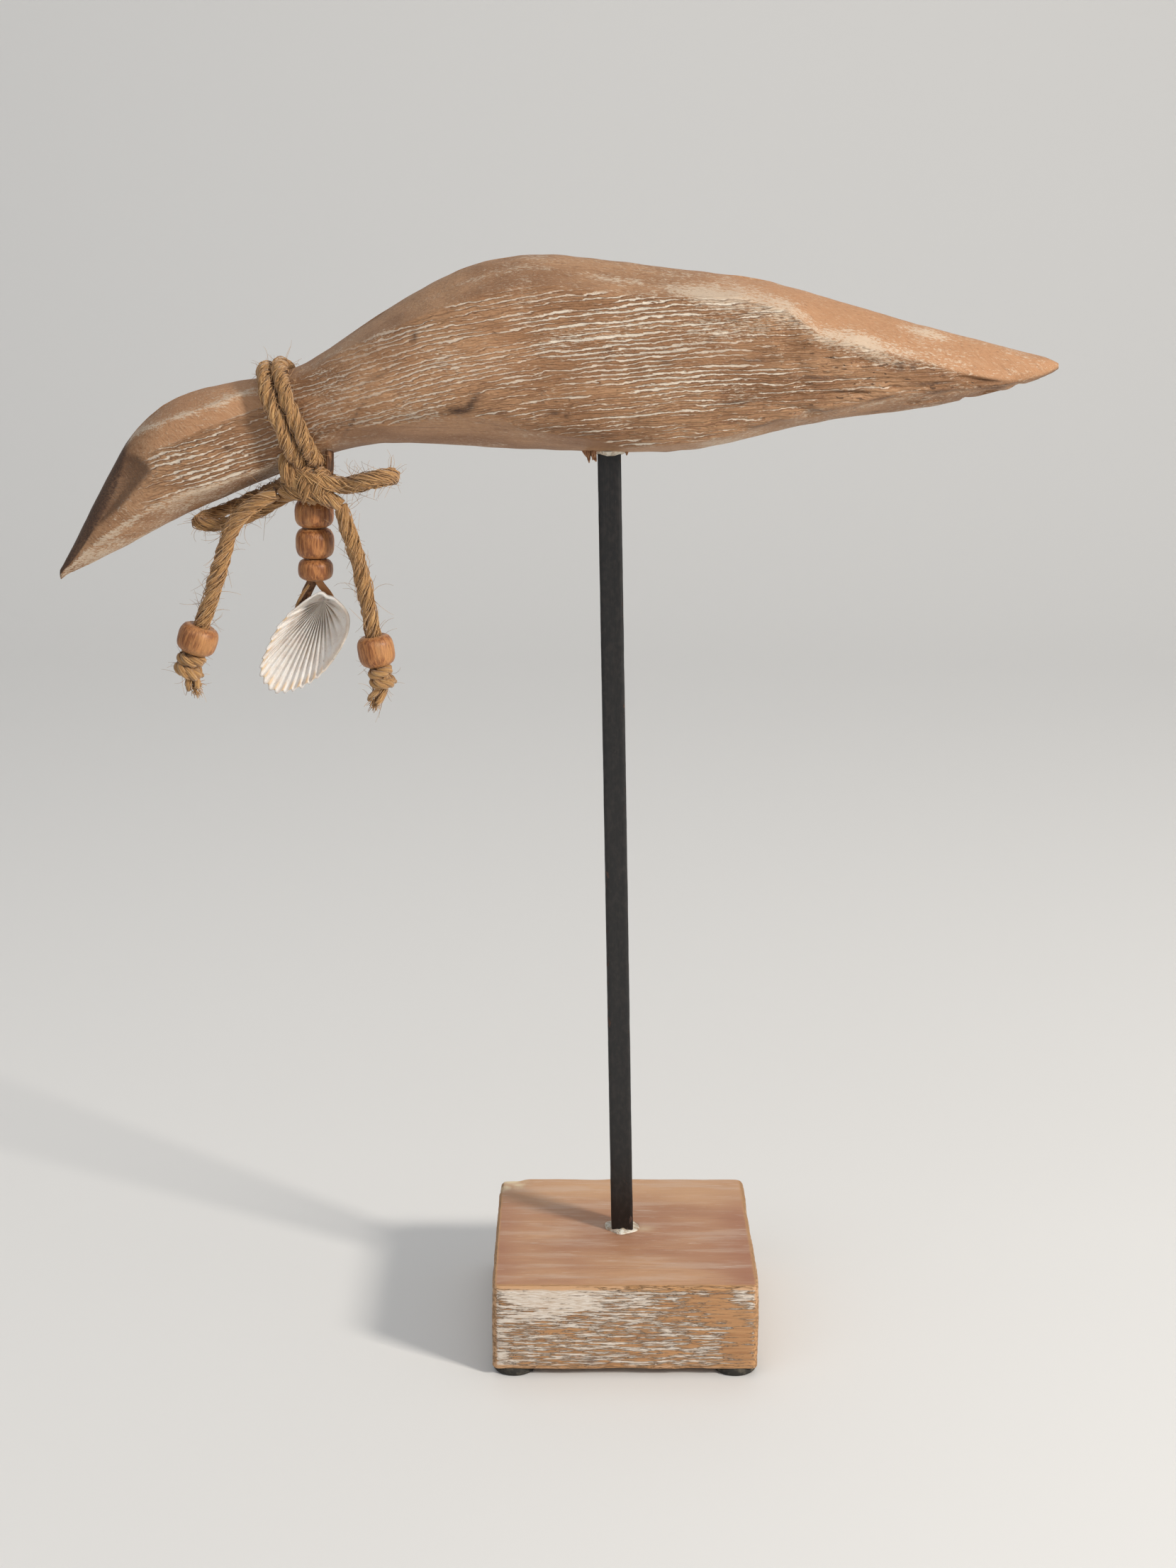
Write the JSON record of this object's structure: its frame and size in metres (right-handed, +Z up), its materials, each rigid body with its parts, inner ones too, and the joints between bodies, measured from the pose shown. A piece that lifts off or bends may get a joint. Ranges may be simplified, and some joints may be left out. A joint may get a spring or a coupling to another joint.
{
  "type": "carved wooden shorebird ornament",
  "caption": "Carved and whitewashed wooden shorebird on a slim rod and a square base, with a bow-tied twine necklace, wooden beads and a shell pendant.",
  "frame": {"origin": "under the middle of the whole figure, on the surface that the feet stand on", "axes": "+Z up, the bill towards -X and the tail towards +X, the side with the bow and the pendant towards -Y"},
  "size_m": [0.252, 0.07, 0.2861],
  "materials": {
    "whitewashed_wood": "carved, sanded and rubbed with white paint that stays in the grooves",
    "base_wood": "sanded, whitewashed on the sides and worn at the edges",
    "rod_paint": "satin black paint, chipped and slightly rusted",
    "foot_rubber": "matte",
    "glue": "dried wood glue, dull and uneven",
    "jute_twine": "twisted plies with loose hairs",
    "brown_lace": "matte, worn",
    "bead_wood": "stained reddish brown, waxed",
    "shell": "dull ribbed natural shell"
  },
  "bodies": {
    "root": {"base_block": "base_wood", "foot_front_left": "foot_rubber", "foot_front_right": "foot_rubber", "foot_rear_left": "foot_rubber", "foot_rear_right": "foot_rubber", "base_glue": "glue", "support_rod": "rod_paint", "bird_glue": "glue", "bird_carving": "whitewashed_wood", "neck_turn_front": "jute_twine", "neck_turn_rear": "jute_twine", "bow_knot": "jute_twine", "bow_loop_left": "jute_twine", "bow_loop_right": "jute_twine", "lace_hanger": "brown_lace"},
    "tail_left": {"tail_left": "jute_twine", "tail_left_stop": "jute_twine"},
    "tail_left_bead": {"tail_left_bead": "bead_wood"},
    "tail_right": {"tail_right": "jute_twine", "tail_right_stop": "jute_twine"},
    "tail_right_bead": {"tail_right_bead": "bead_wood"},
    "pendant": {"pendant_lace": "brown_lace"},
    "bead_top": {"pendant_bead_top": "bead_wood"},
    "bead_middle": {"pendant_bead_middle": "bead_wood"},
    "bead_bottom": {"pendant_bead_bottom": "bead_wood"},
    "shell_drop": {"shell_lace_left": "brown_lace", "shell_lace_right": "brown_lace", "shell_lace_knot": "brown_lace", "shell": "shell"}
  },
  "joints": [
    {"name": "tail_left_swing", "type": "hinge", "parent": "root", "child": "tail_left", "pos_m": [-0.06, -0.007, 0.23], "axis": [1, 0, 0], "range_deg": [-40, 2]},
    {"name": "tail_left_bead_slide", "type": "slide", "parent": "tail_left", "child": "tail_left_bead", "axis": [0.3203, 0, 0.9473], "range_m": [0, 0.024]},
    {"name": "tail_right_swing", "type": "hinge", "parent": "root", "child": "tail_right", "pos_m": [-0.06, -0.007, 0.23], "axis": [1, 0, 0], "range_deg": [-40, 40]},
    {"name": "tail_right_bead_slide", "type": "slide", "parent": "tail_right", "child": "tail_right_bead", "axis": [-0.1691, 0, 0.9856], "range_m": [0, 0.014]},
    {"name": "pendant_swing", "type": "hinge", "parent": "root", "child": "pendant", "pos_m": [-0.0607, -0.0009, 0.2289], "axis": [1, 0, 0], "range_deg": [-8, 40]},
    {"name": "bead_top_spin", "type": "hinge", "parent": "pendant", "child": "bead_top", "pos_m": [-0.0607, -0.0009, 0.2222], "axis": [0, 0, 1], "continuous": true},
    {"name": "bead_middle_spin", "type": "hinge", "parent": "pendant", "child": "bead_middle", "pos_m": [-0.0607, -0.0009, 0.2146], "axis": [0, 0, 1], "continuous": true},
    {"name": "bead_bottom_spin", "type": "hinge", "parent": "pendant", "child": "bead_bottom", "pos_m": [-0.0607, -0.0009, 0.2078], "axis": [0, 0, 1], "continuous": true},
    {"name": "shell_swing", "type": "hinge", "parent": "pendant", "child": "shell_drop", "pos_m": [-0.0607, -0.0009, 0.2037], "axis": [1, 0, 0], "range_deg": [-20, 20]}
  ]
}
